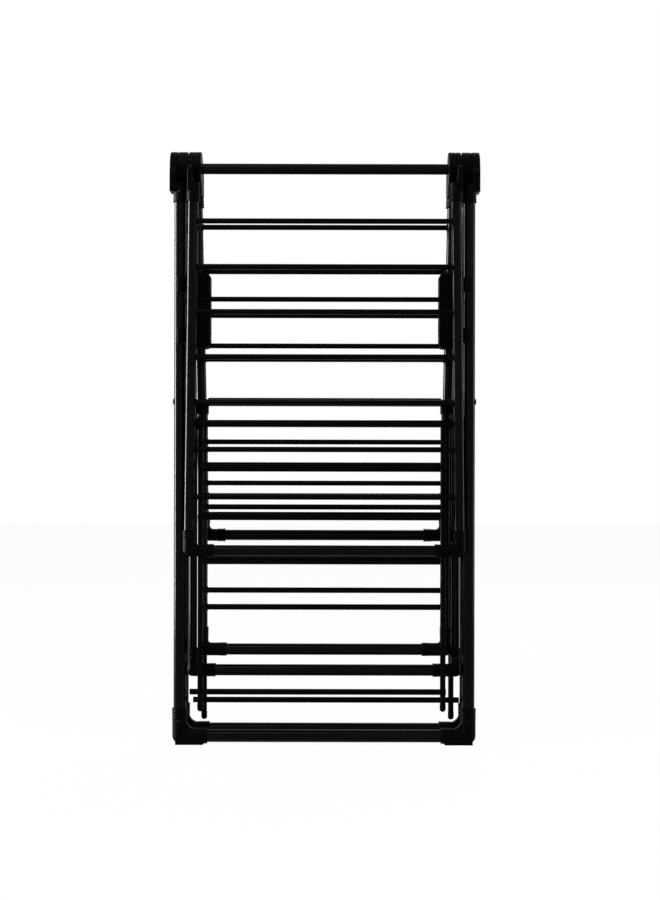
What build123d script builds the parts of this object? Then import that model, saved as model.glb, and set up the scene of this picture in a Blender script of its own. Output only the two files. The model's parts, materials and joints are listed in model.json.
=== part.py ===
from build123d import *
import math
import os

os.makedirs("parts", exist_ok=True)

# Folding rack, folded flat and standing on its feet. Millimetres, +Z up, +X to the right, front towards -Y.
# The origin is on the floor, under the middle. Every frame hangs from one hinge axis across the top.
hinge_height = 1031.4
hinge_disc_radius = 30.0
hinge_rod_radius = 4.0
running_clearance = 0.06
top_bar_radius = 9.6
top_bar_half = 221.0
hinge_button_radius = 9.0
hinge_button_thickness = 3.0
hinge_button_round = 1.6

# Leg frames, one in front of and one behind the hinge axis.
leg_offset_x = 257.2
leg_offset_y = 27.0
leg_radius = 11.3
leg_wall = 0.9
foot_radius = 13.5
foot_arm_up = 49.5
foot_arm_across = 49.2
foot_web = 18.0
sole_proud = 0.5
sole_height = 4.0
sole_half_width = 9.0
sole_inside = 42.0
sole_outside = 8.0
foot_centre = foot_radius + sole_proud
front_foot_lift = 1.5
rear_foot_lift = 5.0
rear_foot_arm_up = 47.0
socket_depth_clear = 14.0
web_inset = 1.5
web_thickness_share = 0.55
cap_sleeve_top = 31.0
cap_sleeve_length = 34.0
cap_block_drop = 46.0
cap_tube_stop = 5.0
leg_cap_grip = 1.7
wing_cap_grip = 2.2
beyond = 400.0

# Disc widths along the hinge axis, as inner and outer edges from the middle.
front_leg_disc = (263.0, 276.5)
rear_leg_disc = (245.6, 262.5)
front_wing_disc = (235.0, 243.8)
rear_wing_disc = (221.6, 234.6)

# Wing frames: they hang outside the leg frames and lift outwards.
wing_offset_y = 43.0
wing_radius = 9.5
wing_wall = 0.8
wing_top_x = 233.5
front_wing_end_x = 240.5
rear_wing_end_x = 219.5
front_wing_end_height = 347.0
rear_wing_end_height = 370.3
wing_elbow_radius = 11.0
wing_elbow_arm_up = 36.0
wing_elbow_web = 10.0
front_wing_elbow_arm = 44.5
rear_wing_elbow_arm = 38.8
wing_rod_radius = 4.8
rod_wall = 0.7
wing_rod_heights = (932.0, 851.0, 771.0, 691.0, 610.0, 526.5, 442.0)

# Wire stays that prop the wings: each hangs from an axle below the middle of its wing.
stay_offset_y = 25.0
stay_axle_height = 573.0
stay_wire_radius = 5.0
stay_axle_radius = 6.2
stay_cross_radius = 5.2
stay_tail = 30.0
stay_tip_radius = 5.5
stay_tip_sleeve = 9.0
bracket_radius = 8.6
bracket_half_height = 12.0
front_bracket = (-8.0, 3.0)
rear_bracket = (12.0, 17.4)
front_saddle = (-8.0, 3.0)
rear_saddle = (1.0, 17.4)
saddle_depth = 12.0
axle_end_cover = 1.0
front_stay_rod_height = 93.7
rear_stay_rod_height = 72.2
front_stay_wires = (-221.0, 212.0)
rear_stay_wires = (-217.5, 230.0)
front_stay_rod_ends = (-240.0, 217.6)
rear_stay_rod_ends = (-237.6, 244.6)
wing_lift_angle = 88.0

# Notched plates on the legs that take the stays' tips.
plate_low = 707.4
plate_high = 842.4
plate_inner_x = 205.0
plate_outer_x = 247.0
plate_front_y = 19.5
plate_back_y = 9.5
plate_round = 8.0
clip_radius = 13.4
clip_height = 26.0
clip_inset = 9.0
clip_mouth = 5.0
tip_gap = 4.5
notch_radius = 7.5
notch_depth = 4.2
notch_spacing = 34.0
notch_edge = 4.0
front_stop_rod_height = 795.6
rear_stop_rod_height = 713.7
stop_rod_radius = 4.6
stop_rod_socket = 25.0

# Spreader and lower shelf, hung from pivots on the front and the rear legs.
pivot_height = 612.0
pivot_offset_y = 25.5
pivot_pin_radius = 3.0
pivot_head_radius = 5.6
pivot_head_proud = 2.6
pivot_shank_proud = 1.0
front_pin_inner_x = 235.6
rear_pin_inner_x = 210.0
spacer_radius = 4.6
spacer_inner_x = 227.0
spacer_into_leg = 2.0
inner_tube_radius = 7.5
inner_sleeve_radius = 9.2
inner_elbow_arm_up = 40.0
inner_elbow_web = 9.0
inner_elbow_grip = 1.5
inner_elbow_half_depth = 20.0
end_bar_radius = 10.2
eye_sleeve_length = 22.0
eye_sleeve_top = 4.5
spreader_x = 236.2
spreader_end_height = 129.6
spreader_elbow_arm = 41.0
spreader_ear = (236.6, 244.6)
spreader_eye_radius = 7.0
shelf_x = 217.4
shelf_end_height = 167.0
shelf_elbow_arm = 42.0
shelf_ear = (212.0, 226.4)
shelf_eye_radius = 5.8
shelf_top_bar_radius = 7.5
shelf_rods = ((540.0, 4.5), (466.0, 4.5), (423.0, 4.8), (273.2, 5.0), (243.0, 5.2))
shelf_braces = ((495.0, 8.6), (406.6, 7.6), (327.8, 8.3))


def save(name, shapes):
    solids = []
    for shape in shapes:
        solids.extend(shape.solids())
    body = solids[0] if len(solids) == 1 else Compound(children=solids)
    export_step(body, f"parts/{name}.step")


def bar(start, end, radius):
    """A round bar between two points."""
    a = Vector(*start)
    b = Vector(*end)
    along = b - a
    return Plane(origin=a, z_dir=along) * Cylinder(
        radius, along.length, align=(Align.CENTER, Align.CENTER, Align.MIN)
    )


def tube(start, end, radius, wall):
    return bar(start, end, radius) - bar(start, end, radius - wall)


def across(radius, x0, x1, y, z):
    """A round bar along X."""
    return bar((x0, y, z), (x1, y, z), radius)


def longest(shape):
    """The largest solid of a cut shape."""
    return shape.solids().sort_by(SortBy.VOLUME)[-1]


def block(x0, x1, y0, y1, z0, z1):
    size = (abs(x1 - x0), abs(y1 - y0), abs(z1 - z0))
    centre = ((x0 + x1) / 2, (y0 + y1) / 2, (z0 + z1) / 2)
    return Pos(*centre) * Box(*size)


def toward(start, end, distance):
    """The point at a distance from start on the way to end."""
    a = Vector(*start)
    b = Vector(*end)
    return tuple(a + (b - a).normalized() * distance)


def ball(point, radius):
    return Pos(*point) * Sphere(radius)


def elbow(corner, up_point, side_point, arms, radii, bores, web, sole=None):
    """A corner fitting: one socket up a side tube, one along an end bar, and a web between them."""
    up_arm, side_arm = arms
    up_radius, side_radius = radii
    up_bore, side_bore = bores
    fitting = bar(corner, toward(corner, up_point, up_arm), up_radius)
    fitting += bar(corner, toward(corner, side_point, side_arm), side_radius)
    fitting += ball(corner, max(up_radius, side_radius))
    sign = 1 if side_point[0] > corner[0] else -1
    x0 = corner[0] + sign * (up_radius - web_inset)
    z0 = corner[2] + side_radius - web_inset
    x1 = x0 + sign * web
    z1 = z0 + web
    with BuildSketch(Plane.XZ.offset(-corner[1])) as outline:
        with BuildLine():
            Line((x1, z0), (x0, z0))
            Line((x0, z0), (x0, z1))
            RadiusArc((x0, z1), (x1, z0), -web * sign)
        make_face()
    fitting += extrude(outline.sketch, web_thickness_share * up_radius, both=True)
    if sole:
        fitting += sole
    fitting -= bar(toward(corner, up_point, socket_depth_clear), toward(corner, up_point, beyond), up_bore)
    side_end = toward(corner, side_point, side_arm * 2)
    fitting -= bar(toward(corner, side_point, socket_depth_clear), side_end, side_bore)
    return fitting


def hinge_cap(side, face, disc, top, bottom, sleeve_radius, tube_radius):
    """A disc on the hinge axis, with an arm down to the sleeve that holds a tube."""
    inner, outer = disc
    offset = abs(top[1])
    x0 = side * inner
    x1 = side * outer
    shoulder = hinge_height - sleeve_radius
    cap = across(hinge_disc_radius, x0, x1, 0, hinge_height)
    cap += across(sleeve_radius, x0, x1, face * offset, shoulder)
    cap += block(x0, x1, 0, face * (offset + sleeve_radius), hinge_height - cap_block_drop, shoulder)
    cap += bar(top, toward(top, bottom, cap_sleeve_length), sleeve_radius)
    cap -= bar(toward(top, bottom, cap_tube_stop), toward(top, bottom, beyond), tube_radius)
    cap -= across(hinge_rod_radius + running_clearance, 0, side * beyond, 0, hinge_height)
    return cap


# Leg frames


def foot_height(face):
    """Height of a foot bar's middle: the rear one sits a little higher."""
    return foot_centre + (front_foot_lift if face < 0 else rear_foot_lift)


def leg_points(side, face):
    top = (side * leg_offset_x, face * leg_offset_y, hinge_height - cap_sleeve_top)
    corner = (side * leg_offset_x, face * leg_offset_y, foot_height(face))
    return top, corner


def foot_elbow(side, face, corner, top, other):
    """The corner of a leg frame, with a flat sole under it."""
    x0 = side * (leg_offset_x + sole_outside)
    x1 = side * (leg_offset_x - sole_inside)
    y0 = corner[1] - sole_half_width
    y1 = corner[1] + sole_half_width
    sole = block(x0, x1, y0, y1, 0, sole_height + foot_height(face) - foot_centre)
    arms = (foot_arm_up if face < 0 else rear_foot_arm_up, foot_arm_across)
    radii = (foot_radius, foot_radius)
    return elbow(corner, top, other, arms, radii, (leg_radius, leg_radius), foot_web, sole)


def notch_heights(rod_height):
    """The notch that the stay's tip reaches with its wing lifted, and two more."""
    lift = math.radians(wing_lift_angle)
    drop = hinge_height - stay_axle_height
    length = stay_axle_height - (rod_height - stay_tail)
    axle_y = stay_offset_y * math.cos(lift) + drop * math.sin(lift)
    axle_z = hinge_height - drop * math.cos(lift) + stay_offset_y * math.sin(lift)
    flat = axle_y - (plate_front_y + stay_tip_radius + tip_gap)
    main = axle_z - math.sqrt(length**2 - flat**2)
    upper = main + notch_spacing
    lower = main - notch_spacing
    if lower - notch_radius < plate_low + notch_edge:
        return main, upper, upper + notch_spacing
    return main, upper, lower


def notched_plate(side, face, rod_height, stop_rod_height):
    """A plate beside the leg, with notches in its outer edge and a socket for the stop rod."""
    x0 = side * plate_inner_x
    x1 = side * plate_outer_x
    back = face * plate_back_y
    front = face * plate_front_y
    plate = block(x0, x1, back, front, plate_low, plate_high)
    plate = fillet(plate.edges().filter_by(Axis.Y), plate_round)
    for height in notch_heights(rod_height):
        plate -= across(notch_radius, 0, x1, face * (plate_front_y + notch_depth), height)
    socket_x = side * (plate_inner_x + stop_rod_socket)
    plate -= across(stop_rod_radius, 0, socket_x, (back + front) / 2, stop_rod_height)
    return plate


def plate_clips(side, face, plate):
    """Two open clips that hold a plate on its leg and leave the leg's outer side bare."""
    leg_x = side * leg_offset_x
    leg_y = face * leg_offset_y
    clips = []
    for low in (plate_low + clip_inset, plate_high - clip_inset - clip_height):
        high = low + clip_height
        clip = bar((leg_x, leg_y, low), (leg_x, leg_y, high), clip_radius)
        clip += block(side * plate_outer_x, leg_x, face * plate_back_y, face * plate_front_y, low, high)
        mouth = side * (leg_offset_x + clip_mouth)
        clip -= block(mouth, side * beyond, -beyond, beyond, 0, hinge_height)
        clip -= bar((leg_x, leg_y, 0), (leg_x, leg_y, hinge_height), leg_radius)
        clips.append(clip - plate)
    return clips


def pivot_pin(side, face):
    """A pin through the leg, with a head outside and the inner frame's eye on its other end."""
    inner = front_pin_inner_x if face < 0 else rear_pin_inner_x
    y = face * pivot_offset_y
    leg_side = side * (leg_offset_x + leg_radius)
    pin = across(pivot_pin_radius, side * inner, leg_side + side * pivot_shank_proud, y, pivot_height)
    head = across(pivot_head_radius, side * leg_offset_x, leg_side + side * pivot_head_proud, y, pivot_height)
    return pin + (head - solid_leg(side, face))


def solid_leg(side, face):
    top, corner = leg_points(side, face)
    return bar(corner, top, leg_radius)


def leg_frame(name, face, disc, rod_height, stop_rod_height):
    elbows = []
    caps = []
    plates = []
    clips = []
    pins = []
    for side, word in ((-1, "left"), (1, "right")):
        top, corner = leg_points(side, face)
        other = (-corner[0], corner[1], corner[2])
        start = toward(corner, top, socket_depth_clear)
        leg = tube(start, toward(top, corner, cap_tube_stop), leg_radius, leg_wall)
        leg -= across(pivot_pin_radius, 0, side * beyond, face * pivot_offset_y, pivot_height)
        save(f"{name}_leg_{word}", [leg])
        elbows.append(foot_elbow(side, face, corner, top, other))
        caps.append(hinge_cap(side, face, disc, top, corner, leg_radius + leg_cap_grip, leg_radius))
        plates.append(notched_plate(side, face, rod_height, stop_rod_height))
        clips.extend(plate_clips(side, face, plates[-1]))
        pins.append(pivot_pin(side, face))
    end = leg_offset_x - socket_depth_clear
    y = face * leg_offset_y
    z = foot_height(face)
    save(f"{name}_foot_bar", [tube((-end, y, z), (end, y, z), leg_radius, leg_wall)])
    save(f"{name}_foot_elbows", elbows)
    save(f"{name}_leg_caps", caps)
    save(f"{name}_notched_plates", plates)
    save(f"{name}_plate_clips", clips)
    save(f"{name}_pivot_pins", pins)
    middle_y = face * (plate_back_y + plate_front_y) / 2
    reach = plate_inner_x + stop_rod_socket
    save(f"{name}_stop_rod", [across(stop_rod_radius, -reach, reach, middle_y, stop_rod_height)])


leg_frame("front", -1, front_leg_disc, front_stay_rod_height, front_stop_rod_height)
leg_frame("rear", 1, rear_leg_disc, rear_stay_rod_height, rear_stop_rod_height)

# Spacer sleeves keep the shelf's eyes away from the rear legs.
spacers = []
for side in (-1, 1):
    spacer_end = side * (leg_offset_x - spacer_into_leg)
    spacer = across(spacer_radius, side * spacer_inner_x, spacer_end, pivot_offset_y, pivot_height)
    spacer -= across(pivot_pin_radius, 0, side * beyond, pivot_offset_y, pivot_height)
    spacer -= solid_leg(side, 1)
    spacers.append(spacer)
save("rear_pivot_spacers", spacers)

# Hinge rod, the tube round it and its end buttons.
rod_end = front_leg_disc[1] + 1.0
save("hinge_rod", [across(hinge_rod_radius, -rod_end, rod_end, 0, hinge_height)])
top_tube = across(top_bar_radius, -top_bar_half, top_bar_half, 0, hinge_height)
top_tube -= across(hinge_rod_radius, -rod_end, rod_end, 0, hinge_height)
save("top_bar", [top_tube])
buttons = []
for side in (-1, 1):
    x = front_leg_disc[1]
    button = across(hinge_button_radius, side * x, side * (x + hinge_button_thickness), 0, hinge_height)
    button = fillet(button.edges().sort_by(Axis.X)[-1 if side > 0 else 0], hinge_button_round)
    button -= across(hinge_rod_radius, 0, side * rod_end, 0, hinge_height)
    buttons.append(button)
save("hinge_end_buttons", buttons)


# Wings


def wing_tube_x(end_x, end_height, height):
    top_z = hinge_height - cap_sleeve_top
    share = (height - end_height) / (top_z - end_height)
    return end_x + (wing_top_x - end_x) * share


def stay_bracket(side, face, tube_x, eye_span, saddle_span, solid_tube):
    """An eye beside or behind the wing's tube that holds one end of a stay's axle."""
    eye_x0 = side * (tube_x + eye_span[0])
    eye_x1 = side * (tube_x + eye_span[1])
    saddle_x0 = side * (tube_x + saddle_span[0])
    saddle_x1 = side * (tube_x + saddle_span[1])
    tube_y = face * wing_offset_y
    axle_y = face * stay_offset_y
    low = stay_axle_height - bracket_half_height
    high = stay_axle_height + bracket_half_height
    eye = across(bracket_radius, eye_x0, eye_x1, axle_y, stay_axle_height)
    eye_low = stay_axle_height - bracket_radius
    eye_high = stay_axle_height + bracket_radius
    eye += block(eye_x0, eye_x1, axle_y, tube_y, eye_low, eye_high)
    eye += block(saddle_x0, saddle_x1, tube_y, tube_y - face * saddle_depth, low, high)
    eye -= solid_tube
    eye -= across(stay_axle_radius + running_clearance, 0, side * beyond, axle_y, stay_axle_height)
    return longest(eye)


def wing(name, face, disc, end_x, end_height, elbow_arm, eye_span, saddle_span):
    elbows = []
    caps = []
    brackets = []
    solid_tubes = []
    y = face * wing_offset_y
    axle_tube_x = wing_tube_x(end_x, end_height, stay_axle_height)
    for side, word in ((-1, "left"), (1, "right")):
        top = (side * wing_top_x, y, hinge_height - cap_sleeve_top)
        corner = (side * end_x, y, end_height)
        other = (-corner[0], y, end_height)
        start = toward(corner, top, socket_depth_clear)
        finish = toward(top, corner, cap_tube_stop)
        save(f"{name}_tube_{word}", [tube(start, finish, wing_radius, wing_wall)])
        solid_tube = bar(corner, top, wing_radius)
        solid_tubes.append(solid_tube)
        arms = (wing_elbow_arm_up, elbow_arm)
        radii = (wing_elbow_radius, wing_elbow_radius)
        elbows.append(elbow(corner, top, other, arms, radii, (wing_radius, wing_radius), wing_elbow_web))
        caps.append(hinge_cap(side, face, disc, top, corner, wing_radius + wing_cap_grip, wing_radius))
        brackets.append(stay_bracket(side, face, axle_tube_x, eye_span, saddle_span, solid_tube))
    reach = end_x - socket_depth_clear
    save(f"{name}_end_bar", [tube((-reach, y, end_height), (reach, y, end_height), wing_radius, wing_wall)])
    save(f"{name}_elbows", elbows)
    save(f"{name}_caps", caps)
    save(f"{name}_stay_brackets", brackets)
    rods = []
    for height in wing_rod_heights:
        rod = tube((-wing_top_x, y, height), (wing_top_x, y, height), wing_rod_radius, rod_wall)
        for solid_tube in solid_tubes:
            rod -= solid_tube
        rods.append(longest(rod))
    save(f"{name}_rods", rods)
    return axle_tube_x + eye_span[1] - axle_end_cover


front_axle_reach = wing(
    "front_wing", -1, front_wing_disc, front_wing_end_x, front_wing_end_height,
    front_wing_elbow_arm, front_bracket, front_saddle,
)
rear_axle_reach = wing(
    "rear_wing", 1, rear_wing_disc, rear_wing_end_x, rear_wing_end_height,
    rear_wing_elbow_arm, rear_bracket, rear_saddle,
)


# Stays


def stay(name, face, wires, rod_ends, rod_height, axle_reach):
    y = face * stay_offset_y
    low = rod_height - stay_tail
    frame = across(stay_axle_radius, -axle_reach, axle_reach, y, stay_axle_height)
    frame += across(stay_cross_radius, rod_ends[0], rod_ends[1], y, rod_height)
    tips = []
    for wire in wires:
        frame += bar((wire, y, low), (wire, y, stay_axle_height), stay_wire_radius)
        tip = ball((wire, y, low), stay_tip_radius)
        tip += bar((wire, y, low), (wire, y, low + stay_tip_sleeve), stay_tip_radius)
        tips.append(tip - bar((wire, y, low), (wire, y, rod_height), stay_wire_radius))
    save(f"{name}_wire", [frame])
    save(f"{name}_tips", tips)


stay("front_stay", -1, front_stay_wires, front_stay_rod_ends, front_stay_rod_height, front_axle_reach)
stay("rear_stay", 1, rear_stay_wires, rear_stay_rod_ends, rear_stay_rod_height, rear_axle_reach)


# Spreader and shelf


def pivot_eye(side, face, tube_x, ear, eye_radius):
    """A sleeve on top of a side tube, with an ear that takes the pivot pin."""
    x = side * tube_x
    y = face * pivot_offset_y
    x0 = side * ear[0]
    x1 = side * ear[1]
    top = pivot_height + eye_sleeve_top
    eye = bar((x, 0, pivot_height - eye_sleeve_length), (x, 0, top), inner_sleeve_radius)
    eye += across(eye_radius, x0, x1, y, pivot_height)
    eye += block(x0, x1, 0, y, pivot_height - eye_radius, top)
    eye -= bar((x, 0, 0), (x, 0, pivot_height + 1), inner_tube_radius)
    eye -= across(pivot_pin_radius + running_clearance, 0, side * beyond, y, pivot_height)
    return eye


def inner_frame(name, face, tube_x, end_height, ear, eye_radius, elbow_arm):
    eyes = []
    elbows = []
    for side, word in ((-1, "left"), (1, "right")):
        corner = (side * tube_x, 0, end_height)
        other = (-side * tube_x, 0, end_height)
        top = (side * tube_x, 0, pivot_height + 1)
        start = toward(corner, top, socket_depth_clear)
        save(f"{name}_tube_{word}", [tube(start, top, inner_tube_radius, wing_wall)])
        eyes.append(pivot_eye(side, face, tube_x, ear, eye_radius))
        arms = (inner_elbow_arm_up, elbow_arm)
        radii = (inner_sleeve_radius, end_bar_radius + inner_elbow_grip)
        bores = (inner_tube_radius, end_bar_radius)
        fitting = elbow(corner, top, other, arms, radii, bores, inner_elbow_web)
        # The outer face is flat, so that the fitting passes between its neighbours.
        outer = side * (tube_x + inner_sleeve_radius)
        keep = block(0, outer, -inner_elbow_half_depth, inner_elbow_half_depth, 0, pivot_height)
        elbows.append(fitting & keep)
    reach = tube_x - socket_depth_clear
    start = (-reach, 0, end_height)
    finish = (reach, 0, end_height)
    save(f"{name}_end_bar", [tube(start, finish, end_bar_radius, wing_wall)])
    save(f"{name}_pivot_eyes", eyes)
    save(f"{name}_elbows", elbows)


def shelf_cross_bars(bars, side_radius):
    made = []
    for height, radius in bars:
        cross = tube((-shelf_x, 0, height), (shelf_x, 0, height), radius, rod_wall)
        for side in (-1, 1):
            x = side * shelf_x
            cross -= bar((x, 0, shelf_end_height), (x, 0, hinge_height), side_radius)
        made.append(longest(cross))
    return made


inner_frame(
    "spreader", -1, spreader_x, spreader_end_height,
    spreader_ear, spreader_eye_radius, spreader_elbow_arm,
)
inner_frame(
    "shelf", 1, shelf_x, shelf_end_height,
    shelf_ear, shelf_eye_radius, shelf_elbow_arm,
)
save("shelf_rods", shelf_cross_bars(shelf_rods, inner_tube_radius))
save("shelf_brace_bars", shelf_cross_bars(shelf_braces, inner_tube_radius))
save("shelf_top_bar", shelf_cross_bars([(pivot_height, shelf_top_bar_radius)], inner_sleeve_radius))
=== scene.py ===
import json
import math

import bmesh
import bpy
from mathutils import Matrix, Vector


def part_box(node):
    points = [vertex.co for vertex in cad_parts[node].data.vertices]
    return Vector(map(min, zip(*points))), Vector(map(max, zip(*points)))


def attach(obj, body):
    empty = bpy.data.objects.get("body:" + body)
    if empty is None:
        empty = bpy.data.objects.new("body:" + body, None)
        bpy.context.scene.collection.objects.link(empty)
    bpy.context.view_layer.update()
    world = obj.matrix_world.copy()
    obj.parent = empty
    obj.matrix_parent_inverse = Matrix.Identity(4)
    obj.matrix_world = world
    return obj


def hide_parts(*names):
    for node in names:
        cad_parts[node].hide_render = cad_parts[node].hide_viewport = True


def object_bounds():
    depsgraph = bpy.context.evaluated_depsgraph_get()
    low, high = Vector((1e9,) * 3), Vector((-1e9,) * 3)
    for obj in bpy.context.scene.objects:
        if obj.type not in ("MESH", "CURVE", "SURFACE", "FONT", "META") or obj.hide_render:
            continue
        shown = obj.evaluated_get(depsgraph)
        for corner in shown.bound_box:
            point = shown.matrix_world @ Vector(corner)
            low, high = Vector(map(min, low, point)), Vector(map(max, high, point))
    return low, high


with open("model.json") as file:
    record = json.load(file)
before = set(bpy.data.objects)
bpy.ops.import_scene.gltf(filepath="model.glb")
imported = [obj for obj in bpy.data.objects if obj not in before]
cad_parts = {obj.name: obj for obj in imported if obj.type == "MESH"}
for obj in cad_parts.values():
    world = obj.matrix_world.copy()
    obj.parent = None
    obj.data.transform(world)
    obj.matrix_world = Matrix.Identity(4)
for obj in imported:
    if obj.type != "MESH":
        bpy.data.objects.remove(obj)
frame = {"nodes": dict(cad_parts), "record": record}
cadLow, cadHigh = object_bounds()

bodyOf = {}
for bodyName, nodeNames in frame["record"]["behaviour"]["bodies"].items():
    for nodeName in nodeNames:
        bodyOf[nodeName] = bodyName


class Field:
    # one socket of a node tree, so that maths reads as Python
    def __init__(self, kit, socket):
        self.kit = kit
        self.socket = socket

    def maths(self, operation, other):
        return self.kit.node("ShaderNodeMath", {"operation": operation}, {0: self, 1: other})

    def __add__(self, other):
        return self.maths("ADD", other)

    __radd__ = __add__

    def __mul__(self, other):
        return self.maths("MULTIPLY", other)

    __rmul__ = __mul__


class ShaderKit:
    # builds the nodes of one material or of the world
    def __init__(self, owner, outputKind="ShaderNodeOutputMaterial"):
        owner.use_nodes = True
        self.owner = owner
        self.tree = owner.node_tree
        self.tree.nodes.clear()
        self.output = self.tree.nodes.new(outputKind)

    def link(self, value, socket):
        if isinstance(value, Field):
            self.tree.links.new(value.socket, socket)
        else:
            socket.default_value = value

    def node(self, kind, settings=None, inputs=None, out=0):
        made = self.tree.nodes.new(kind)
        for key, value in (settings or {}).items():
            setattr(made, key, value)
        for key, value in (inputs or {}).items():
            self.link(value, made.inputs[key])
        return Field(self, made.outputs[out])

    def place(self, scale=(1, 1, 1)):
        spot = self.node("ShaderNodeTexCoord", out="Object")
        return self.node("ShaderNodeMapping", {}, {"Vector": spot, "Scale": scale})

    def noise(self, where, scale, detail=2.0, roughness=0.5):
        inputs = {"Vector": where, "Scale": scale, "Detail": detail, "Roughness": roughness}
        return self.node("ShaderNodeTexNoise", {"noise_dimensions": "3D"}, inputs)

    def cells(self, where, scale):
        return self.node("ShaderNodeTexVoronoi", {"feature": "F1"}, {"Vector": where, "Scale": scale})

    def between(self, value, low, high, toLow=0.0, toHigh=1.0):
        inputs = {"Value": value, "From Min": low, "From Max": high, "To Min": toLow, "To Max": toHigh}
        return self.node("ShaderNodeMapRange", {"clamp": True}, inputs)

    def spread(self, noise, look, low=0.3, high=0.7):
        # roughness that wanders a little round its usual value
        below, above = look["roughSpread"]
        return self.between(noise, low, high, look["roughness"] - below, look["roughness"] + above)

    def blendColours(self, factor, first, second):
        made = self.tree.nodes.new("ShaderNodeMix")
        made.data_type = "RGBA"
        # colours go in at sockets 6 and 7 and come out at 2
        self.link(factor, made.inputs["Factor"])
        self.link(first, made.inputs[6])
        self.link(second, made.inputs[7])
        return Field(self, made.outputs[2])

    def bump(self, height, strength, distance):
        inputs = {"Height": height, "Strength": strength, "Distance": distance}
        return self.node("ShaderNodeBump", {}, inputs)

    def finishWith(self, **inputs):
        named = {key.replace("_", " "): value for key, value in inputs.items()}
        return self.close(self.node("ShaderNodeBsdfPrincipled", {}, named))

    def close(self, surface):
        self.link(surface, self.output.inputs["Surface"])
        return self.owner

    def whiteRays(self):
        # 1 for what the camera, a reflection or glass sees, 0 for light
        path = self.tree.nodes.new("ShaderNodeLightPath")
        rays = [Field(self, path.outputs[f"Is {kind} Ray"]) for kind in ("Camera", "Glossy", "Transmission")]
        return rays[0] + rays[1] + rays[2]


# in every finish: scales are in waves per metre, depths in metres, ranges are levels of the noise
tubeFinish = {
    "colour": (0.0009, 0.0009, 0.00095, 1),
    "dustColour": (0.0024, 0.0024, 0.0023, 1),
    "scuffColour": (0.009, 0.0088, 0.0085, 1),
    "peelScale": 620.0,
    "peelDepth": 0.000008,
    "peelStrength": 0.5,
    "speckScale": 1900.0,
    "speckShare": 0.25,
    "cloudScale": 9.0,
    "dustRange": (0.42, 0.75),
    "dustMost": 0.55,
    "streakScale": (260, 260, 16),
    "streakRange": (0.62, 0.74),
    "scuffTop": 0.055,
    "scuffLow": 0.85,
    "scuffAnywhere": 0.06,
    "scuffRoughness": 0.18,
    "roughness": 0.20,
    "roughSpread": (0.05, 0.07),
    "shine": 0.025,
    "coat": 0.045,
    "coatRoughness": 0.12,
}


def powderCoat(name, look):
    kit = ShaderKit(bpy.data.materials.new(name))
    spot = kit.place()
    peel = kit.noise(spot, look["peelScale"], detail=2.0, roughness=0.45)
    cloud = kit.noise(spot, look["cloudScale"], detail=4.0, roughness=0.55)
    speck = kit.noise(spot, look["speckScale"], detail=1.0, roughness=0.4)
    streaks = kit.noise(kit.place(look["streakScale"]), 1.0, detail=3.0, roughness=0.6)
    # scuffs gather near the feet
    height = kit.node("ShaderNodeSeparateXYZ", {}, {"Vector": spot}, out="Z")
    nearFloor = kit.between(height, look["scuffTop"], 0.0)
    scuffShare = nearFloor * look["scuffLow"] + look["scuffAnywhere"]
    scuff = kit.between(streaks, *look["streakRange"]) * scuffShare
    dust = kit.between(cloud, *look["dustRange"], 0.0, look["dustMost"])
    colour = kit.blendColours(dust, look["colour"], look["dustColour"])
    colour = kit.blendColours(scuff, colour, look["scuffColour"])
    rough = kit.spread(cloud, look) + scuff * look["scuffRoughness"]
    normal = kit.bump(peel + speck * look["speckShare"], look["peelStrength"], look["peelDepth"])
    return kit.finishWith(
        Base_Color=colour, Roughness=rough, Normal=normal, Specular_IOR_Level=look["shine"],
        Coat_Weight=look["coat"], Coat_Roughness=look["coatRoughness"],
    )


rodFinish = {
    "colour": (0.0008, 0.0008, 0.0009, 1),
    "rubColour": (0.005, 0.005, 0.0052, 1),
    "grainScale": (24, 900, 900),
    "grainRange": (0.45, 0.62),
    "grainShare": 0.6,
    "peelScale": 980.0,
    "peelStrength": 0.45,
    "peelDepth": 0.00002,
    "patchScale": 30.0,
    "rubRange": (0.6, 0.72),
    "rubMost": 0.5,
    "roughness": 0.24,
    "roughSpread": (0.06, 0.08),
    "shine": 0.02,
    "coat": 0.015,
    "coatRoughness": 0.14,
}


def drawnRodCoat(name, look):
    kit = ShaderKit(bpy.data.materials.new(name))
    spot = kit.place()
    grain = kit.noise(kit.place(look["grainScale"]), 1.0, detail=3.0, roughness=0.5)
    peel = kit.noise(spot, look["peelScale"], detail=2.0, roughness=0.5)
    patches = kit.noise(spot, look["patchScale"], detail=4.0, roughness=0.6)
    worn = kit.between(patches, *look["rubRange"], 0.0, look["rubMost"])
    rub = worn * kit.between(grain, *look["grainRange"])
    colour = kit.blendColours(rub, look["colour"], look["rubColour"])
    rough = kit.spread(patches, look)
    normal = kit.bump(peel + grain * look["grainShare"], look["peelStrength"], look["peelDepth"])
    return kit.finishWith(
        Base_Color=colour, Roughness=rough, Normal=normal, Specular_IOR_Level=look["shine"],
        Coat_Weight=look["coat"], Coat_Roughness=look["coatRoughness"],
    )


plasticFinish = {
    "colour": (0.0011, 0.0011, 0.00115, 1),
    "paleColour": (0.0032, 0.0032, 0.0031, 1),
    "grainScale": 1500.0,
    "finerScale": 0.7,
    "grainShare": 0.7,
    "cellShare": 0.6,
    "grainStrength": 0.55,
    "grainDepth": 0.00008,
    "flowScale": (40, 40, 95),
    "flowRange": (0.55, 0.8),
    "paleMost": 0.45,
    "handledScale": 22.0,
    "roughness": 0.46,
    "roughSpread": (0.1, 0.08),
    "shine": 0.02,
}


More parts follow.
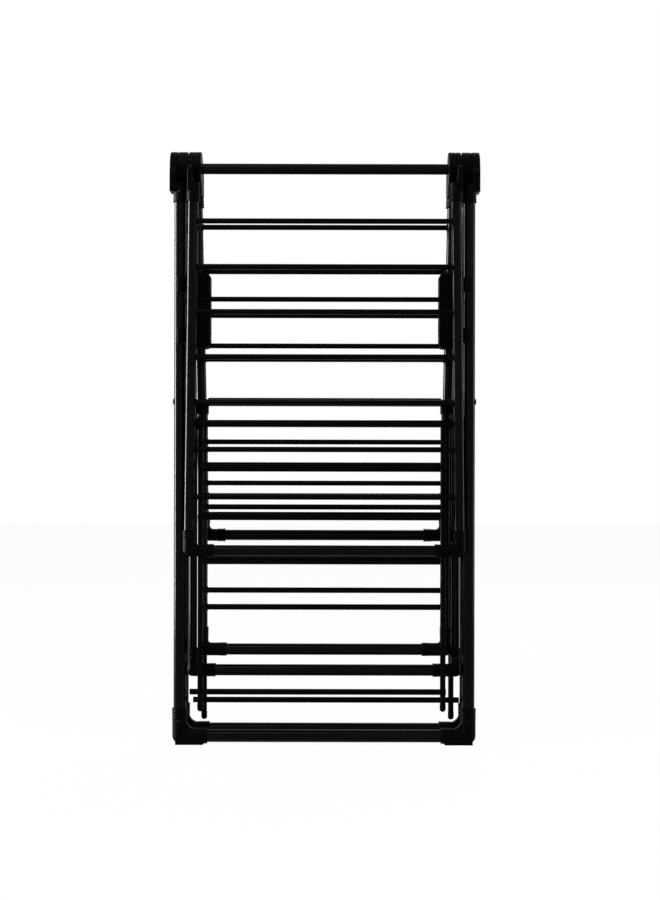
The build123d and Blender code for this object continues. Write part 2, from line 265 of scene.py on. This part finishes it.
def mouldedPlastic(name, look):
    kit = ShaderKit(bpy.data.materials.new(name))
    spot = kit.place()
    cells = kit.cells(spot, look["grainScale"])
    grain = kit.noise(spot, look["grainScale"] * look["finerScale"], detail=2.0, roughness=0.5)
    flow = kit.noise(kit.place(look["flowScale"]), 1.0, detail=4.0, roughness=0.6)
    handled = kit.noise(spot, look["handledScale"], detail=3.0, roughness=0.5)
    pale = kit.between(flow, *look["flowRange"], 0.0, look["paleMost"])
    colour = kit.blendColours(pale, look["colour"], look["paleColour"])
    rough = kit.spread(handled, look)
    relief = grain * look["grainShare"] + cells * look["cellShare"]
    normal = kit.bump(relief, look["grainStrength"], look["grainDepth"])
    return kit.finishWith(
        Base_Color=colour, Roughness=rough, Normal=normal, Specular_IOR_Level=look["shine"],
    )


rivetFinish = {
    "colour": (0.002, 0.002, 0.002, 1),
    "bareColour": (0.012, 0.0118, 0.0115, 1),
    "markScale": 420.0,
    "markRange": (0.6, 0.72),
    "markStrength": 0.4,
    "markDepth": 0.00004,
    "bareMost": 0.8,
    "patchScale": 130.0,
    "patchRange": (0.45, 0.65),
    "metalBlack": 0.25,
    "metalBare": 0.6,
    "roughness": 0.3,
    "roughSpread": (0.06, 0.1),
    "shine": 0.05,
}


def blackenedSteel(name, look):
    kit = ShaderKit(bpy.data.materials.new(name))
    spot = kit.place()
    marks = kit.noise(spot, look["markScale"], detail=5.0, roughness=0.65)
    patches = kit.noise(spot, look["patchScale"], detail=2.0, roughness=0.5)
    worn = kit.between(marks, *look["markRange"], 0.0, look["bareMost"])
    bare = worn * kit.between(patches, *look["patchRange"])
    colour = kit.blendColours(bare, look["colour"], look["bareColour"])
    rough = kit.spread(patches, look)
    normal = kit.bump(marks, look["markStrength"], look["markDepth"])
    metal = bare * look["metalBare"] + look["metalBlack"]
    return kit.finishWith(
        Base_Color=colour, Roughness=rough, Metallic=metal, Normal=normal, Specular_IOR_Level=look["shine"],
    )


finishes = {
    "tube_coating": powderCoat("tubePowderCoat", tubeFinish),
    "rod_coating": drawnRodCoat("rodCoat", rodFinish),
    "fitting_plastic": mouldedPlastic("mouldedFitting", plasticFinish),
    "pin_steel": blackenedSteel("blackenedRivet", rivetFinish),
}
slotOf = {row["node"]: row["material_slot"] for row in frame["record"]["subparts"]}
for nodeName, nodeObject in frame["nodes"].items():
    for holder in nodeObject.material_slots:
        holder.material = finishes[slotOf[nodeName]]
print("finishes made:", len(finishes))


def keptInside(mesh):
    # nothing stands proud of the frame's own box
    for vertex in mesh.vertices:
        for axis in range(3):
            vertex.co[axis] = min(max(vertex.co[axis], cadLow[axis]), cadHigh[axis])
    mesh.update()
    return mesh


def pieceFrom(name, mesh, slotName, bodyName, replacedNodes=()):
    piece = bpy.data.objects.new(name, keptInside(mesh))
    bpy.context.collection.objects.link(piece)
    mesh.materials.clear()
    mesh.materials.append(finishes[slotName])
    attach(piece, bodyName)
    if replacedNodes:
        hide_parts(*replacedNodes)
    return piece


def sideBox(nodeName, side):
    # lowest and highest corner of a node's half on one side of the middle
    points = [v.co for v in frame["nodes"][nodeName].data.vertices if v.co.x * side > 0]
    low = Vector([min(p[i] for p in points) for i in range(3)])
    high = Vector([max(p[i] for p in points) for i in range(3)])
    return low, high


def addRing(bm, centre, axis, radius, bead, steps=56, sides=10):
    turn = Vector(axis).to_track_quat("Z", "Y").to_matrix()
    rows = []
    for step in range(steps):
        around = 2 * math.pi * step / steps
        row = []
        for side in range(sides):
            tilt = 2 * math.pi * side / sides
            reach = radius + bead * math.cos(tilt)
            local = Vector((reach * math.cos(around), reach * math.sin(around), bead * math.sin(tilt)))
            row.append(bm.verts.new(Vector(centre) + turn @ local))
        rows.append(row)
    for step in range(steps):
        first, second = rows[step], rows[(step + 1) % steps]
        for side in range(sides):
            after = (side + 1) % sides
            bm.faces.new((first[side], second[side], second[after], first[after]))


def addTurned(bm, profile, centre, axis, steps=48):
    # a turned shape: profile is (radius, height) from one pole to the other
    turn = Vector(axis).to_track_quat("Z", "Y").to_matrix()
    rows = []
    for radius, height in profile:
        if radius < 1e-7:
            rows.append([bm.verts.new(Vector(centre) + turn @ Vector((0, 0, height)))])
            continue
        row = []
        for step in range(steps):
            around = 2 * math.pi * step / steps
            local = Vector((radius * math.cos(around), radius * math.sin(around), height))
            row.append(bm.verts.new(Vector(centre) + turn @ local))
        rows.append(row)
    for first, second in zip(rows, rows[1:]):
        for step in range(steps):
            after = (step + 1) % steps
            if len(first) == 1:
                bm.faces.new((first[0], second[step], second[after]))
            elif len(second) == 1:
                bm.faces.new((first[step], second[0], first[after]))
            else:
                bm.faces.new((first[step], second[step], second[after], first[after]))


def smoothShaded(mesh):
    for face in mesh.polygons:
        face.use_smooth = True
    return mesh


def finishedMesh(bm, name):
    bmesh.ops.recalc_face_normals(bm, faces=bm.faces)
    mesh = bpy.data.meshes.new(name)
    bm.to_mesh(mesh)
    bm.free()
    return smoothShaded(mesh)


def appliedMesh(holder, name):
    # the holder's mesh with its modifiers applied; the holder itself goes
    bpy.context.view_layer.update()
    seen = holder.evaluated_get(bpy.context.evaluated_depsgraph_get())
    result = bpy.data.meshes.new_from_object(seen)
    result.name = name
    bpy.data.objects.remove(holder)
    return result


# shared by the moulded fittings: skin, beads at the mouths and grip ribs
mouldSettings = {
    "voxel": 0.0011,
    "smoothFactor": 0.5,
    "smoothSteps": 3,
    "rimBead": 0.0011,
    "ribBead": 0.0008,
    "ribStart": 0.006,
    "ribPitch": 0.0055,
}


def softened(bm, name, voxel):
    # joins what overlaps into one skin with moulded, rounded edges
    holder = bpy.data.objects.new(name + "Soft", finishedMesh(bm, name))
    bpy.context.collection.objects.link(holder)
    remesh = holder.modifiers.new("skin", "REMESH")
    remesh.mode = "VOXEL"
    remesh.voxel_size = voxel
    smooth = holder.modifiers.new("soften", "SMOOTH")
    smooth.factor = mouldSettings["smoothFactor"]
    smooth.iterations = mouldSettings["smoothSteps"]
    return smoothShaded(appliedMesh(holder, name))


def mergedCopy(nodeName):
    bm = bmesh.new()
    bm.from_mesh(frame["nodes"][nodeName].data)
    bmesh.ops.remove_doubles(bm, verts=bm.verts, dist=1e-6)
    return bm


def middleOf(points):
    return Vector([(min(p[i] for p in points) + max(p[i] for p in points)) / 2 for i in range(3)])


def tubeAxis(nodeName, endShare=0.02):
    # middle of a tube's lower and upper end, and its radius, from its mesh
    points = [v.co.copy() for v in frame["nodes"][nodeName].data.vertices]
    low = min(p.z for p in points)
    high = max(p.z for p in points)
    margin = (high - low) * endShare
    lowEnd = middleOf([p for p in points if p.z < low + margin])
    highEnd = middleOf([p for p in points if p.z > high - margin])
    radius = (max(p.y for p in points) - min(p.y for p in points)) / 2
    return lowEnd, highEnd, radius


def onAxis(ends, height):
    share = (height - ends[0].z) / (ends[1].z - ends[0].z)
    return ends[0].lerp(ends[1], share)


def sleeveRings(bm, ends, mouth, into, wallRadius, ribs):
    # a thick rim at the mouth of an upright sleeve, then thin grip ribs
    look = mouldSettings
    axis = (ends[1] - ends[0]).normalized()
    addRing(bm, onAxis(ends, mouth - into * look["rimBead"]), axis, wallRadius, look["rimBead"])
    for step in range(ribs):
        height = mouth - into * (look["ribStart"] + step * look["ribPitch"])
        addRing(bm, onAxis(ends, height), axis, wallRadius, look["ribBead"])


def armRings(bm, centreYZ, mouthX, into, wallRadius, ribs):
    # the same round the mouth of a level sleeve
    look = mouldSettings
    y, z = centreYZ
    addRing(bm, (mouthX - into * look["rimBead"], y, z), (1, 0, 0), wallRadius, look["rimBead"])
    for step in range(ribs):
        x = mouthX - into * (look["ribStart"] + step * look["ribPitch"])
        addRing(bm, (x, y, z), (1, 0, 0), wallRadius, look["ribBead"])


# wall of an elbow's upright sleeve and level arm over its tubes, and their ribs
elbowLook = {
    "foot": {"sleeve": 0.0022, "arm": 0.0022, "ribs": 3},
    "wing": {"sleeve": 0.002, "arm": 0.002, "ribs": 2},
    "inner": {"sleeve": 0.0016, "arm": 0.0015, "ribs": 2},
}


def elbowPair(nodeName, tubeNames, barName, pieceName, look):
    bm = mergedCopy(nodeName)
    barLow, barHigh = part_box(barName)
    barRadius = (barHigh.z - barLow.z) / 2
    centreYZ = ((barLow.y + barHigh.y) / 2, (barLow.z + barHigh.z) / 2)
    for side, tubeName in zip((-1, 1), tubeNames):
        low, high = sideBox(nodeName, side)
        lowEnd, highEnd, tubeRadius = tubeAxis(tubeName)
        sleeveRings(bm, (lowEnd, highEnd), high.z, 1, tubeRadius + look["sleeve"], look["ribs"])
        mouthX = low.x if side > 0 else high.x
        armRings(bm, centreYZ, mouthX, -side, barRadius + look["arm"], look["ribs"])
    mesh = softened(bm, pieceName, mouldSettings["voxel"])
    return pieceFrom(pieceName, mesh, "fitting_plastic", bodyOf[nodeName], [nodeName])


# discs that reach past outerFrom are the outermost, and get two raised rings on their face
capLook = {
    "legSleeve": 0.0017,
    "wingSleeve": 0.0022,
    "ribs": 2,
    "mouthLift": 0.0006,
    "outerFrom": 0.27,
    "faceRings": (0.0275, 0.0165),
    "faceBead": 0.0009,
}


def hingeCaps(nodeName, tubeNames, pieceName, sleeve):
    look = capLook
    bm = mergedCopy(nodeName)
    rodLow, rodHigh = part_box("hinge_rod")
    axisYZ = ((rodLow.y + rodHigh.y) / 2, (rodLow.z + rodHigh.z) / 2)
    for side, tubeName in zip((-1, 1), tubeNames):
        low, high = sideBox(nodeName, side)
        lowEnd, highEnd, tubeRadius = tubeAxis(tubeName)
        sleeveRings(bm, (lowEnd, highEnd), low.z + look["mouthLift"], -1, tubeRadius + sleeve, look["ribs"])
        outer = high.x if side > 0 else low.x
        if abs(outer) > look["outerFrom"]:
            for ringRadius in look["faceRings"]:
                addRing(bm, (outer, *axisYZ), (1, 0, 0), ringRadius, look["faceBead"])
    mesh = softened(bm, pieceName, mouldSettings["voxel"])
    return pieceFrom(pieceName, mesh, "fitting_plastic", bodyOf[nodeName], [nodeName])


# skin fineness of the fittings that have no beads
plainVoxels = {
    "notchedPlates": 0.001,
    "plateClips": 0.0007,
    "stayBrackets": 0.0007,
    "stayTips": 0.0006,
    "pivotEyes": 0.0007,
    "spacers": 0.0006,
}


def plainFitting(nodeName, pieceName, voxelName):
    mesh = softened(mergedCopy(nodeName), pieceName, plainVoxels[voxelName])
    return pieceFrom(pieceName, mesh, "fitting_plastic", bodyOf[nodeName], [nodeName])


def sideTubes(start):
    return [f"{start}_left", f"{start}_right"]


for end in ("front", "rear"):
    legs = sideTubes(f"{end}_leg")
    wingTubes = sideTubes(f"{end}_wing_tube")
    elbowPair(f"{end}_foot_elbows", legs, f"{end}_foot_bar", f"{end}FootElbows", elbowLook["foot"])
    elbowPair(f"{end}_wing_elbows", wingTubes, f"{end}_wing_end_bar", f"{end}WingElbows", elbowLook["wing"])
    hingeCaps(f"{end}_leg_caps", legs, f"{end}LegCaps", capLook["legSleeve"])
    hingeCaps(f"{end}_wing_caps", wingTubes, f"{end}WingCaps", capLook["wingSleeve"])
    plainFitting(f"{end}_notched_plates", f"{end}NotchedPlates", "notchedPlates")
    plainFitting(f"{end}_plate_clips", f"{end}PlateClips", "plateClips")
    plainFitting(f"{end}_wing_stay_brackets", f"{end}StayBrackets", "stayBrackets")
    plainFitting(f"{end}_stay_tips", f"{end}StayTips", "stayTips")
for inner in ("spreader", "shelf"):
    tubes = sideTubes(f"{inner}_tube")
    elbowPair(f"{inner}_elbows", tubes, f"{inner}_end_bar", f"{inner}Elbows", elbowLook["inner"])
    plainFitting(f"{inner}_pivot_eyes", f"{inner}PivotEyes", "pivotEyes")
plainFitting("rear_pivot_spacers", "rearPivotSpacers", "spacers")
print("moulded fittings skinned")


rivetLook = {
    "domeRadius": 0.0056,
    "domeHeight": 0.0021,
    "domeSteps": 8,
    "rim": 0.0006,
    "shankRadius": 0.0029,
    "chamfer": 0.0004,
}


def pivotRivets(end):
    # a domed head outside the leg, a shank through it
    nodeName = f"{end}_pivot_pins"
    pieceName = f"{end}PivotRivets"
    look = rivetLook
    shank = look["shankRadius"]
    chamfer = look["chamfer"]
    bm = bmesh.new()
    for side in (-1, 1):
        low, high = sideBox(nodeName, side)
        y = (low.y + high.y) / 2
        z = (low.z + high.z) / 2
        outer = high.x if side > 0 else low.x
        inner = low.x if side > 0 else high.x
        length = abs(outer - inner)
        dome = []
        for step in range(look["domeSteps"] + 1):
            turn = math.pi / 2 * step / look["domeSteps"]
            height = look["domeHeight"] * math.cos(turn)
            dome.append((look["domeRadius"] * math.sin(turn), -look["domeHeight"] + height))
        foot = -look["domeHeight"] - look["rim"]
        profile = dome + [(look["domeRadius"], foot), (shank, foot - chamfer)]
        profile += [(shank, -length + chamfer), (shank - chamfer, -length), (0, -length)]
        addTurned(bm, profile, (outer, y, z), (side, 0, 0))
    return pieceFrom(pieceName, finishedMesh(bm, pieceName), "pin_steel", bodyOf[nodeName], [nodeName])


for end in ("front", "rear"):
    pivotRivets(end)

# shares are of the button's radius, crownDrop of its thickness
buttonLook = {
    "dimple": 0.0009,
    "dimpleShare": 0.3,
    "lipShare": 0.38,
    "lipDrop": 0.0001,
    "crownShare": 0.55,
    "crownDrop": 0.55,
    "steps": 10,
}


def hingeButtons():
    # a dimpled middle, a rounded crown and a flat back
    look = buttonLook
    bm = bmesh.new()
    for side in (-1, 1):
        low, high = sideBox("hinge_end_buttons", side)
        thick = high.x - low.x
        radius = (high.z - low.z) / 2
        centreZ = (high.z + low.z) / 2
        outer = high.x if side > 0 else low.x
        profile = [(0, -look["dimple"]), (radius * look["dimpleShare"], -look["dimple"])]
        profile.append((radius * look["lipShare"], -look["lipDrop"]))
        for step in range(look["steps"] + 1):
            turn = math.pi / 2 * step / look["steps"]
            share = look["crownShare"] + (1 - look["crownShare"]) * math.sin(turn)
            profile.append((radius * share, -thick * look["crownDrop"] * (1 - math.cos(turn))))
        profile += [(radius, -thick), (0, -thick)]
        addTurned(bm, profile, (outer, 0, centreZ), (side, 0, 0))
    mesh = finishedMesh(bm, "hingeEndButtons")
    return pieceFrom("hingeEndButtons", mesh, "fitting_plastic", "front_legs", ["hinge_end_buttons"])


hingeButtons()
print("rivets and buttons turned")


# two small node trees: weld rings for the rods' ends, screws for the sleeves
def addNode(group, kind, settings=None, inputs=None):
    made = group.nodes.new(kind)
    for key, value in (settings or {}).items():
        setattr(made, key, value)
    for key, value in (inputs or {}).items():
        socket = made.inputs[key]
        if isinstance(value, bpy.types.NodeSocket):
            group.links.new(value, socket)
        else:
            socket.default_value = value
    return made


def newGroup(name, floats):
    group = bpy.data.node_groups.new(name, "GeometryNodeTree")
    group.interface.new_socket("Geometry", in_out="INPUT", socket_type="NodeSocketGeometry")
    for label, value in floats.items():
        socket = group.interface.new_socket(label, in_out="INPUT", socket_type="NodeSocketFloat")
        socket.default_value = value
    group.interface.new_socket("Finish", in_out="INPUT", socket_type="NodeSocketMaterial")
    group.interface.new_socket("Geometry", in_out="OUTPUT", socket_type="NodeSocketGeometry")
    return group, group.nodes.new("NodeGroupInput"), group.nodes.new("NodeGroupOutput")


def closeGroup(group, entry, exitNode, shape):
    # every point carries an axis, along which its copy is turned
    named = "GeometryNodeInputNamedAttribute"
    axis = addNode(group, named, {"data_type": "FLOAT_VECTOR"}, {"Name": "along"})
    size = addNode(group, named, {"data_type": "FLOAT"}, {"Name": "size"})
    turned = addNode(group, "FunctionNodeAlignRotationToVector", {"axis": "Z"}, {"Vector": axis.outputs[0]})
    placed = {"Points": entry.outputs["Geometry"], "Instance": shape}
    placed.update({"Rotation": turned.outputs[0], "Scale": size.outputs[0]})
    copies = addNode(group, "GeometryNodeInstanceOnPoints", {}, placed)
    real = addNode(group, "GeometryNodeRealizeInstances", {}, {"Geometry": copies.outputs[0]})
    smooth = addNode(group, "GeometryNodeSetShadeSmooth", {}, {"Geometry": real.outputs[0]})
    painted = addNode(
        group, "GeometryNodeSetMaterial", {},
        {"Geometry": smooth.outputs[0], "Material": entry.outputs["Finish"]},
    )
    group.links.new(painted.outputs[0], exitNode.inputs[0])
    return group


# bead, grow and inset are shares of the rod's radius
weldLook = {"bead": 0.26, "grow": 1.02, "inset": 0.35, "steps": 28, "sides": 8}


def ringGroup(look):
    # a bead of weld: a thin round section carried round a circle of radius 1, scaled by each point's size
    group, entry, exitNode = newGroup("weldRing", {"Bead": look["bead"]})
    circle = addNode(
        group, "GeometryNodeCurvePrimitiveCircle", {},
        {"Resolution": look["steps"], "Radius": 1.0},
    )
    section = addNode(
        group, "GeometryNodeCurvePrimitiveCircle", {},
        {"Resolution": look["sides"], "Radius": entry.outputs["Bead"]},
    )
    swept = addNode(
        group, "GeometryNodeCurveToMesh", {},
        {"Curve": circle.outputs[0], "Profile Curve": section.outputs[0]},
    )
    return closeGroup(group, entry, exitNode, swept.outputs[0])


# flatness, collar and collarDepth are shares of the head's radius
screwLook = {
    "radius": 0.0031,
    "flatness": 0.42,
    "collar": 1.15,
    "collarDepth": 0.3,
    "collarSides": 24,
    "segments": 20,
    "rings": 10,
    "sink": 0.0004,
}


def screwGroup(look):
    # a pan head: a flattened ball with a collar under it
    group, entry, exitNode = newGroup("panHead", {"Flatness": look["flatness"], "Collar": look["collar"]})
    ball = addNode(
        group, "GeometryNodeMeshUVSphere", {},
        {"Segments": look["segments"], "Rings": look["rings"], "Radius": 1.0},
    )
    flat = addNode(group, "ShaderNodeCombineXYZ", {}, {"X": 1.0, "Y": 1.0, "Z": entry.outputs["Flatness"]})
    dome = addNode(
        group, "GeometryNodeTransform", {},
        {"Geometry": ball.outputs[0], "Scale": flat.outputs[0]},
    )
    collar = addNode(
        group, "GeometryNodeMeshCylinder", {},
        {"Vertices": look["collarSides"], "Radius": entry.outputs["Collar"], "Depth": look["collarDepth"]},
    )
    joined = addNode(group, "GeometryNodeJoinGeometry")
    group.links.new(dome.outputs[0], joined.inputs[0])
    group.links.new(collar.outputs[0], joined.inputs[0])
    return closeGroup(group, entry, exitNode, joined.outputs[0])


ringTree = ringGroup(weldLook)
screwTree = screwGroup(screwLook)


def scattered(name, spots, tree, values, slotName, bodyName):
    # spots are (point, axis, size)
    mesh = bpy.data.meshes.new(name + "Points")
    mesh.from_pydata([tuple(spot[0]) for spot in spots], [], [])
    mesh.attributes.new("along", "FLOAT_VECTOR", "POINT")
    mesh.attributes.new("size", "FLOAT", "POINT")
    for place, spot in enumerate(spots):
        mesh.attributes["along"].data[place].vector = spot[1]
        mesh.attributes["size"].data[place].value = spot[2]
    holder = bpy.data.objects.new(name + "Points", mesh)
    bpy.context.collection.objects.link(holder)
    modifier = holder.modifiers.new("copies", "NODES")
    modifier.node_group = tree
    for item in tree.interface.items_tree:
        if item.in_out == "INPUT" and item.name in values:
            modifier[item.identifier] = values[item.name]
        if item.in_out == "INPUT" and item.name == "Finish":
            modifier[item.identifier] = finishes[slotName]
    return pieceFrom(name, appliedMesh(holder, name), slotName, bodyName)


def islandsOf(bm):
    # the points of each separate solid, in the mesh's own order
    unseen = set(bm.verts)
    islands = []
    for start in bm.verts:
        if start not in unseen:
            continue
        unseen.remove(start)
        island = [start]
        for vertex in island:
            fresh = [edge.other_vert(vertex) for edge in vertex.link_edges]
            fresh = [other for other in fresh if other in unseen]
            unseen.difference_update(fresh)
            island.extend(fresh)
        islands.append([vertex.co for vertex in island])
    return islands


def rodSpots(rodNodes):
    # both ends of every separate rod of the nodes
    spots = []
    for nodeName in rodNodes:
        bm = mergedCopy(nodeName)
        for points in islandsOf(bm):
            radius = (max(p.z for p in points) - min(p.z for p in points)) / 2
            middle = middleOf(points)
            for pick, side in ((min, -1), (max, 1)):
                x = pick(p.x for p in points) - side * radius * weldLook["inset"]
                spots.append(((x, middle.y, middle.z), (1, 0, 0), radius * weldLook["grow"]))
        bm.free()
    return spots


for bodyName, rodNodes in {
    "front_wing": ["front_wing_rods"],
    "rear_wing": ["rear_wing_rods"],
    "shelf": ["shelf_rods", "shelf_brace_bars"],
}.items():
    spots = rodSpots(rodNodes)
    scattered(bodyName + "WeldRings", spots, ringTree, {"Bead": weldLook["bead"]}, "rod_coating", bodyName)
print("weld rings placed")

# how far a screw stands from its sleeve's mouth, and the walls of the sleeves
screwFromMouth = {"foot": 0.022, "legCap": 0.019, "wingCap": 0.016, "wingElbow": 0.012, "inner": 0.018}
screwWall = {"foot": 0.0022, "legCap": 0.0017, "wing": 0.0015, "inner": 0.0016}


def sleeveScrews(name, bodyName, tubeNames, heights, wall, face):
    # one screw through each sleeve, on the side that faces out
    spots = []
    for tubeName in tubeNames:
        lowEnd, highEnd, radius = tubeAxis(tubeName)
        for height in heights:
            centre = onAxis((lowEnd, highEnd), height)
            depth = radius + wall - screwLook["sink"]
            spots.append((centre + Vector((0, face * depth, 0)), (0, face, 0), screwLook["radius"]))
    values = {"Flatness": screwLook["flatness"], "Collar": screwLook["collar"]}
    return scattered(name, spots, screwTree, values, "pin_steel", bodyName)


def belowTop(nodeName, place):
    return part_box(nodeName)[1].z - screwFromMouth[place]


def aboveLow(nodeName, place):
    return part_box(nodeName)[0].z + screwFromMouth[place]


for end, face in (("front", -1), ("rear", 1)):
    legs = sideTubes(f"{end}_leg")
    footHeights = [belowTop(f"{end}_foot_elbows", "foot")]
    sleeveScrews(f"{end}FootScrews", f"{end}_legs", legs, footHeights, screwWall["foot"], face)
    capHeights = [aboveLow(f"{end}_leg_caps", "legCap")]
    sleeveScrews(f"{end}CapScrews", f"{end}_legs", legs, capHeights, screwWall["legCap"], face)
    wingTubes = sideTubes(f"{end}_wing_tube")
    wingHeights = [aboveLow(f"{end}_wing_caps", "wingCap"), belowTop(f"{end}_wing_elbows", "wingElbow")]
    sleeveScrews(f"{end}WingScrews", f"{end}_wing", wingTubes, wingHeights, screwWall["wing"], -face)
for inner, face in (("spreader", -1), ("shelf", 1)):
    heights = [belowTop(f"{inner}_elbows", "inner")]
    sleeveScrews(f"{inner}Screws", inner, sideTubes(f"{inner}_tube"), heights, screwWall["inner"], face)
print("screws placed")


# seen is how much of the floor's own glow the camera sees, over its matt shade
stageLook = {
    "halfSize": 9.0,
    "floorColour": (0.9, 0.9, 0.9, 1),
    "seen": 0.92,
    "glow": 1.035,
    "skyLight": 0.22,
    "skySeen": 1.0,
    "white": (1, 1, 1, 1),
}


def paleSurface(name, look):
    # a matt surface that the camera and reflections see nearly white, and that keeps shadows
    kit = ShaderKit(bpy.data.materials.new(name))
    share = kit.whiteRays() * look["seen"]
    matt = kit.node("ShaderNodeBsdfDiffuse", {}, {"Color": look["floorColour"]})
    glow = kit.node("ShaderNodeEmission", {}, {"Color": look["white"], "Strength": look["glow"]})
    return kit.close(kit.node("ShaderNodeMixShader", {}, {0: share, 1: matt, 2: glow}))


def makeFloor(look):
    half = look["halfSize"]
    corners = [(-half, -half, 0), (half, -half, 0), (half, half, 0), (-half, half, 0)]
    mesh = bpy.data.meshes.new("floor")
    mesh.from_pydata(corners, [], [(0, 1, 2, 3)])
    mesh.materials.append(paleSurface("paleFloor", look))
    floor = bpy.data.objects.new("floor", mesh)
    bpy.context.collection.objects.link(floor)


def makeSky(look):
    # lights softly, and is white to the camera and in reflections
    kit = ShaderKit(bpy.data.worlds.new("studio"), "ShaderNodeOutputWorld")
    dim = kit.node("ShaderNodeBackground", {}, {"Color": look["white"], "Strength": look["skyLight"]})
    bright = kit.node("ShaderNodeBackground", {}, {"Color": look["white"], "Strength": look["skySeen"]})
    mixed = kit.node("ShaderNodeMixShader", {}, {0: kit.whiteRays(), 1: dim, 2: bright})
    bpy.context.scene.world = kit.close(mixed)


# the lamps marked gloss only draw the thin streaks along the tubes, and light no colour
lampLook = [
    {"name": "keyLamp", "place": (-1.2, -1.5, 3.2), "size": (2.2, 1.8), "power": 46},
    {"name": "fillLamp", "place": (2.2, -1.8, 1.9), "size": (1.8, 1.6), "power": 12},
    {"name": "leftSoftbox", "place": (-2.3, 0.35, 0.8), "size": (0.36, 2.0), "power": 400, "gloss": True},
    {"name": "rightStrip", "place": (2.6, 0.5, 0.8), "size": (0.22, 1.7), "power": 40, "gloss": True},
    {"name": "rearLamp", "place": (0.8, 2.6, 2.6), "size": (1.8, 1.4), "power": 22},
]


def makeLamps(lamps, target):
    for look in lamps:
        lamp = bpy.data.lights.new(look["name"], "AREA")
        lamp.energy = look["power"]
        lamp.shape = "RECTANGLE"
        lamp.size, lamp.size_y = look["size"]
        lampObject = bpy.data.objects.new(look["name"], lamp)
        bpy.context.collection.objects.link(lampObject)
        lampObject.location = look["place"]
        lampObject.visible_diffuse = not look.get("gloss", False)
        aim = target - Vector(look["place"])
        lampObject.rotation_euler = aim.to_track_quat("-Z", "Y").to_euler()


# halfField is half the picture's height at a distance of 1, roll is in degrees
cameraLook = {
    "distance": 3.05,
    "height": 0.5257,
    "side": 0.0099,
    "halfField": 0.2657,
    "sensor": 36.0,
    "roll": -0.1125,
    "nearest": 0.05,
    "farthest": 60,
}


def makeCamera(look):
    data = bpy.data.cameras.new("camera")
    data.sensor_width = look["sensor"]
    data.lens = look["sensor"] / 2 / look["halfField"]
    data.clip_start = look["nearest"]
    data.clip_end = look["farthest"]
    camera = bpy.data.objects.new("camera", data)
    bpy.context.collection.objects.link(camera)
    camera.location = (look["side"], -look["distance"], look["height"])
    camera.rotation_euler = (math.radians(90), math.radians(look["roll"]), 0)
    bpy.context.scene.camera = camera


makeFloor(stageLook)
makeSky(stageLook)
makeLamps(lampLook, (cadLow + cadHigh) / 2)
makeCamera(cameraLook)
bpy.context.scene.view_settings.view_transform = "Standard"
print("stage, lamps and camera ready")
